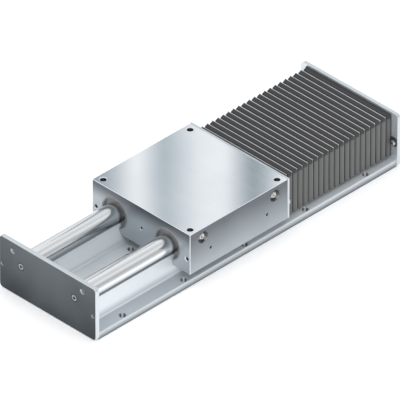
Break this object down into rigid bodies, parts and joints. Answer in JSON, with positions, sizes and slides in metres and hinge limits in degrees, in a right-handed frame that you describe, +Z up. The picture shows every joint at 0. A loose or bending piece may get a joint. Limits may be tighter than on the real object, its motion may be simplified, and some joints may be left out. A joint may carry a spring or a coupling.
{
  "type": "linear slide",
  "caption": "Linear slide: a block carriage on open ball bushings runs along two supported shafts on an extruded base, with end plates and a bellows on one side.",
  "frame": {"origin": "centre of the base's underside", "axes": "+X along the travel towards the bellows, +Z up from the base to the carriage's top, +Y across to the left"},
  "size_m": [0.562, 0.18, 0.0835],
  "materials": {
    "base_aluminium": "anodised, satin",
    "plate_aluminium": "milled, satin",
    "carriage_aluminium": "anodised, satin",
    "shaft_steel": "hardened and ground",
    "screw_steel": "zinc plated",
    "nipple_steel": "nickel plated",
    "bearing_steel": "ground",
    "cage_plastic": "moulded",
    "seal_rubber": "matte",
    "bellows_fabric": "coated cloth, slight sheen",
    "frame_plastic": "sheet",
    "stay_plastic": "sheet"
  },
  "bodies": {
    "base": {"base_profile": "base_aluminium", "shaft_left": "shaft_steel", "shaft_right": "shaft_steel", "shaft_screws": "screw_steel", "end_plate_front": "plate_aluminium", "end_plate_rear": "plate_aluminium", "end_plate_screws": "screw_steel", "bellows_cover": "bellows_fabric", "bellows_rear_frame": "frame_plastic", "bellows_ear_screws": "screw_steel", "bellows_frame_screws": "screw_steel"},
    "carriage": {"carriage_block": "carriage_aluminium", "lube_nipples": "nipple_steel", "bushing_lock_screws": "screw_steel", "bellows_flange": "plate_aluminium", "bellows_flange_screws": "screw_steel", "bellows_front_frame": "frame_plastic", "bushing_cage_front_left": "cage_plastic", "bushing_plates_front_left": "bearing_steel", "bushing_rings_front_left": "bearing_steel", "end_seal_front_left": "seal_rubber", "bushing_cage_front_right": "cage_plastic", "bushing_plates_front_right": "bearing_steel", "bushing_rings_front_right": "bearing_steel", "end_seal_front_right": "seal_rubber", "bushing_cage_rear_left": "cage_plastic", "bushing_plates_rear_left": "bearing_steel", "bushing_rings_rear_left": "bearing_steel", "end_seal_rear_left": "seal_rubber", "bushing_cage_rear_right": "cage_plastic", "bushing_plates_rear_right": "bearing_steel", "bushing_rings_rear_right": "bearing_steel", "end_seal_rear_right": "seal_rubber"},
    "stay_01_body": {"bellows_stay_01": "stay_plastic"},
    "stay_02_body": {"bellows_stay_02": "stay_plastic"},
    "stay_03_body": {"bellows_stay_03": "stay_plastic"},
    "stay_04_body": {"bellows_stay_04": "stay_plastic"},
    "stay_05_body": {"bellows_stay_05": "stay_plastic"},
    "stay_06_body": {"bellows_stay_06": "stay_plastic"},
    "stay_07_body": {"bellows_stay_07": "stay_plastic"},
    "stay_08_body": {"bellows_stay_08": "stay_plastic"},
    "stay_09_body": {"bellows_stay_09": "stay_plastic"},
    "stay_10_body": {"bellows_stay_10": "stay_plastic"},
    "stay_11_body": {"bellows_stay_11": "stay_plastic"},
    "stay_12_body": {"bellows_stay_12": "stay_plastic"},
    "stay_13_body": {"bellows_stay_13": "stay_plastic"},
    "stay_14_body": {"bellows_stay_14": "stay_plastic"},
    "stay_15_body": {"bellows_stay_15": "stay_plastic"},
    "stay_16_body": {"bellows_stay_16": "stay_plastic"},
    "stay_17_body": {"bellows_stay_17": "stay_plastic"},
    "stay_18_body": {"bellows_stay_18": "stay_plastic"},
    "stay_19_body": {"bellows_stay_19": "stay_plastic"},
    "stay_20_body": {"bellows_stay_20": "stay_plastic"}
  },
  "joints": [
    {"name": "carriage_slide", "type": "slide", "parent": "base", "child": "carriage", "axis": [1, 0, 0], "range_m": [-0.163, 0.125], "deforming": ["bellows_cover"]},
    {"name": "stay_01_slide", "type": "slide", "parent": "base", "child": "stay_01_body", "axis": [1, 0, 0], "range_m": [-0.15922, 0.12215]},
    {"name": "stay_02_slide", "type": "slide", "parent": "base", "child": "stay_02_body", "axis": [1, 0, 0], "range_m": [-0.15127, 0.11605]},
    {"name": "stay_03_slide", "type": "slide", "parent": "base", "child": "stay_03_body", "axis": [1, 0, 0], "range_m": [-0.14332, 0.10996]},
    {"name": "stay_04_slide", "type": "slide", "parent": "base", "child": "stay_04_body", "axis": [1, 0, 0], "range_m": [-0.13537, 0.10386]},
    {"name": "stay_05_slide", "type": "slide", "parent": "base", "child": "stay_05_body", "axis": [1, 0, 0], "range_m": [-0.12742, 0.09776]},
    {"name": "stay_06_slide", "type": "slide", "parent": "base", "child": "stay_06_body", "axis": [1, 0, 0], "range_m": [-0.11947, 0.09166]},
    {"name": "stay_07_slide", "type": "slide", "parent": "base", "child": "stay_07_body", "axis": [1, 0, 0], "range_m": [-0.11152, 0.08557]},
    {"name": "stay_08_slide", "type": "slide", "parent": "base", "child": "stay_08_body", "axis": [1, 0, 0], "range_m": [-0.10357, 0.07947]},
    {"name": "stay_09_slide", "type": "slide", "parent": "base", "child": "stay_09_body", "axis": [1, 0, 0], "range_m": [-0.09561, 0.07337]},
    {"name": "stay_10_slide", "type": "slide", "parent": "base", "child": "stay_10_body", "axis": [1, 0, 0], "range_m": [-0.08766, 0.06727]},
    {"name": "stay_11_slide", "type": "slide", "parent": "base", "child": "stay_11_body", "axis": [1, 0, 0], "range_m": [-0.07971, 0.06118]},
    {"name": "stay_12_slide", "type": "slide", "parent": "base", "child": "stay_12_body", "axis": [1, 0, 0], "range_m": [-0.07176, 0.05508]},
    {"name": "stay_13_slide", "type": "slide", "parent": "base", "child": "stay_13_body", "axis": [1, 0, 0], "range_m": [-0.06381, 0.04898]},
    {"name": "stay_14_slide", "type": "slide", "parent": "base", "child": "stay_14_body", "axis": [1, 0, 0], "range_m": [-0.05586, 0.04288]},
    {"name": "stay_15_slide", "type": "slide", "parent": "base", "child": "stay_15_body", "axis": [1, 0, 0], "range_m": [-0.04791, 0.03679]},
    {"name": "stay_16_slide", "type": "slide", "parent": "base", "child": "stay_16_body", "axis": [1, 0, 0], "range_m": [-0.03996, 0.03069]},
    {"name": "stay_17_slide", "type": "slide", "parent": "base", "child": "stay_17_body", "axis": [1, 0, 0], "range_m": [-0.032, 0.02459]},
    {"name": "stay_18_slide", "type": "slide", "parent": "base", "child": "stay_18_body", "axis": [1, 0, 0], "range_m": [-0.02405, 0.01849]},
    {"name": "stay_19_slide", "type": "slide", "parent": "base", "child": "stay_19_body", "axis": [1, 0, 0], "range_m": [-0.0161, 0.0124]},
    {"name": "stay_20_slide", "type": "slide", "parent": "base", "child": "stay_20_body", "axis": [1, 0, 0], "range_m": [-0.00815, 0.0063]}
  ],
  "couplings": [
    {"joint": "stay_01_slide", "follows": "carriage_slide", "ratio": 0.97561},
    {"joint": "stay_02_slide", "follows": "carriage_slide", "ratio": 0.92683},
    {"joint": "stay_03_slide", "follows": "carriage_slide", "ratio": 0.87805},
    {"joint": "stay_04_slide", "follows": "carriage_slide", "ratio": 0.82927},
    {"joint": "stay_05_slide", "follows": "carriage_slide", "ratio": 0.78049},
    {"joint": "stay_06_slide", "follows": "carriage_slide", "ratio": 0.73171},
    {"joint": "stay_07_slide", "follows": "carriage_slide", "ratio": 0.68293},
    {"joint": "stay_08_slide", "follows": "carriage_slide", "ratio": 0.63415},
    {"joint": "stay_09_slide", "follows": "carriage_slide", "ratio": 0.58537},
    {"joint": "stay_10_slide", "follows": "carriage_slide", "ratio": 0.53658},
    {"joint": "stay_11_slide", "follows": "carriage_slide", "ratio": 0.4878},
    {"joint": "stay_12_slide", "follows": "carriage_slide", "ratio": 0.43902},
    {"joint": "stay_13_slide", "follows": "carriage_slide", "ratio": 0.39024},
    {"joint": "stay_14_slide", "follows": "carriage_slide", "ratio": 0.34146},
    {"joint": "stay_15_slide", "follows": "carriage_slide", "ratio": 0.29268},
    {"joint": "stay_16_slide", "follows": "carriage_slide", "ratio": 0.2439},
    {"joint": "stay_17_slide", "follows": "carriage_slide", "ratio": 0.19512},
    {"joint": "stay_18_slide", "follows": "carriage_slide", "ratio": 0.14634},
    {"joint": "stay_19_slide", "follows": "carriage_slide", "ratio": 0.097561},
    {"joint": "stay_20_slide", "follows": "carriage_slide", "ratio": 0.04878}
  ]
}
